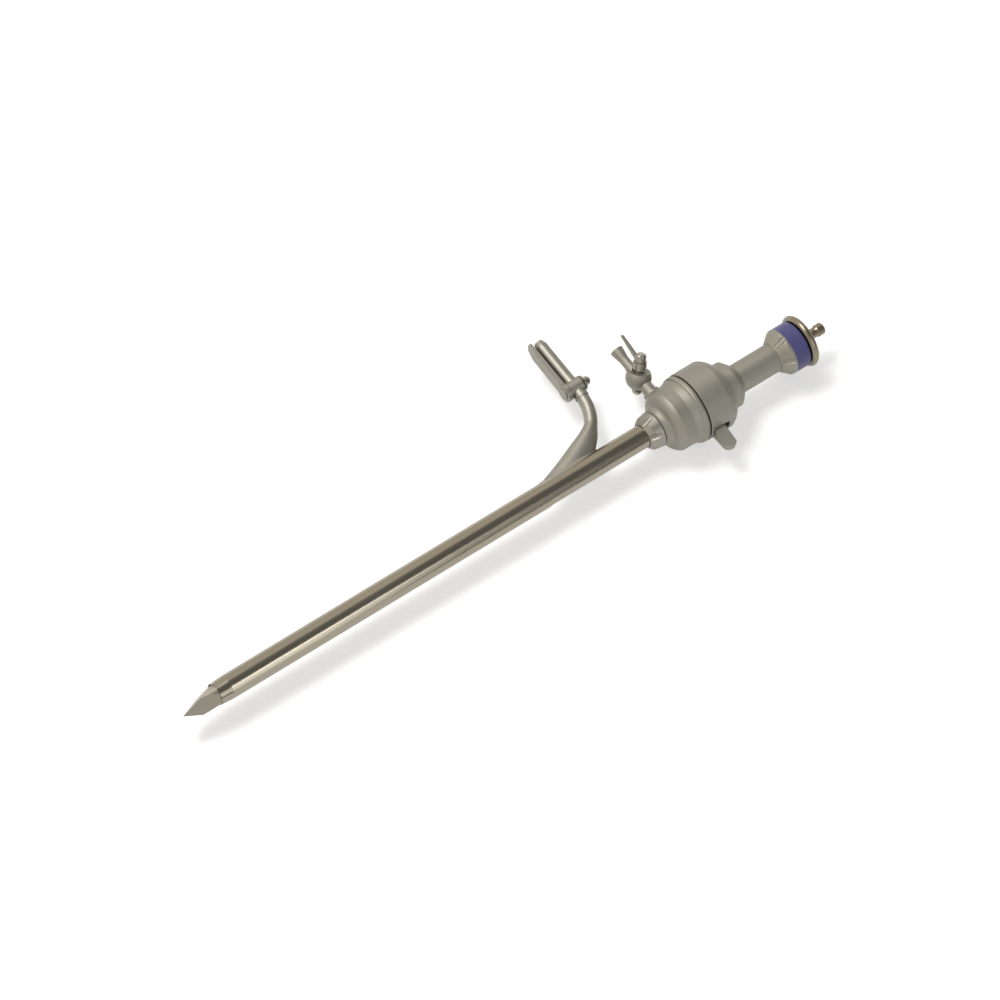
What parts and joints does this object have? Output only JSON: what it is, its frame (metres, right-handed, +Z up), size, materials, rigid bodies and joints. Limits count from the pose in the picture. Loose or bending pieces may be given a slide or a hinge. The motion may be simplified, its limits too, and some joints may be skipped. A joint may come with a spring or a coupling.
{
  "type": "trocar cannula",
  "caption": "Reusable metal trocar cannula with flap valve, gas stopcock, side arm with stopcock, silicone seal cap and a removable three-sided obturator.",
  "frame": {"origin": "centre of the shaft where it reaches its full diameter, just behind the bevelled mouth", "axes": "+X along the shaft's axis towards the thumb disc, +Y towards the side of both stopcocks, +Z up"},
  "size_m": [0.2243, 0.0567, 0.0206],
  "materials": {
    "polished_steel": "polished stainless steel",
    "satin_steel": "satin stainless steel",
    "blue_silicone": "blue-violet silicone",
    "clear_silicone": "milky silicone",
    "o_ring": "black elastomer"
  },
  "bodies": {
    "cannula": {"cannula_tube": "polished_steel", "side_arm_saddle": "satin_steel", "side_arm_tube": "polished_steel", "side_arm_sleeve": "satin_steel", "front_collar": "satin_steel", "tube_flange": "satin_steel", "tube_o_ring": "o_ring", "front_shell": "satin_steel", "housing_o_ring": "o_ring", "rear_shell": "satin_steel", "flap_pin": "polished_steel", "flap_spring": "polished_steel", "valve_seat": "polished_steel", "rear_nut": "satin_steel", "neck_tube": "polished_steel", "seal_cup": "satin_steel", "sealing_washer": "clear_silicone", "seal_retainer": "polished_steel", "seal_cap": "blue_silicone", "gas_cock_body": "satin_steel", "side_cock_body": "satin_steel"},
    "obturator": {"obturator_rod": "polished_steel", "obturator_point": "polished_steel", "obturator_disc": "polished_steel", "obturator_stub": "satin_steel"},
    "flap": {"valve_flap": "polished_steel", "flap_pad": "clear_silicone", "finger_lever": "satin_steel"},
    "gas_plug": {"gas_cock_plug": "polished_steel", "gas_cock_lever": "polished_steel", "gas_cock_washer": "polished_steel", "gas_cock_nut": "polished_steel"},
    "side_plug": {"side_cock_plug": "polished_steel", "side_cock_lever": "satin_steel", "side_cock_washer": "polished_steel", "side_cock_nut": "polished_steel"}
  },
  "joints": [
    {"name": "obturator_slide", "type": "slide", "parent": "cannula", "child": "obturator", "axis": [1, 0, 0], "range_m": [0, 0.22]},
    {"name": "flap_hinge", "type": "hinge", "parent": "cannula", "child": "flap", "pos_m": [0.16449, -0.006, 0], "axis": [0, 0, 1], "range_deg": [0, 14], "stiffness_Nm_per_rad": 0.008, "springref_deg": -89.95},
    {"name": "gas_cock_turn", "type": "hinge", "parent": "cannula", "child": "gas_plug", "pos_m": [0.1558, 0.0154, 0], "axis": [0.3393, 0.4695, 0.8151], "range_deg": [0, 90]},
    {"name": "side_cock_turn", "type": "hinge", "parent": "cannula", "child": "side_plug", "pos_m": [0.1388, 0.0226, 0], "axis": [-1, 0, 0], "range_deg": [0, 90]}
  ]
}
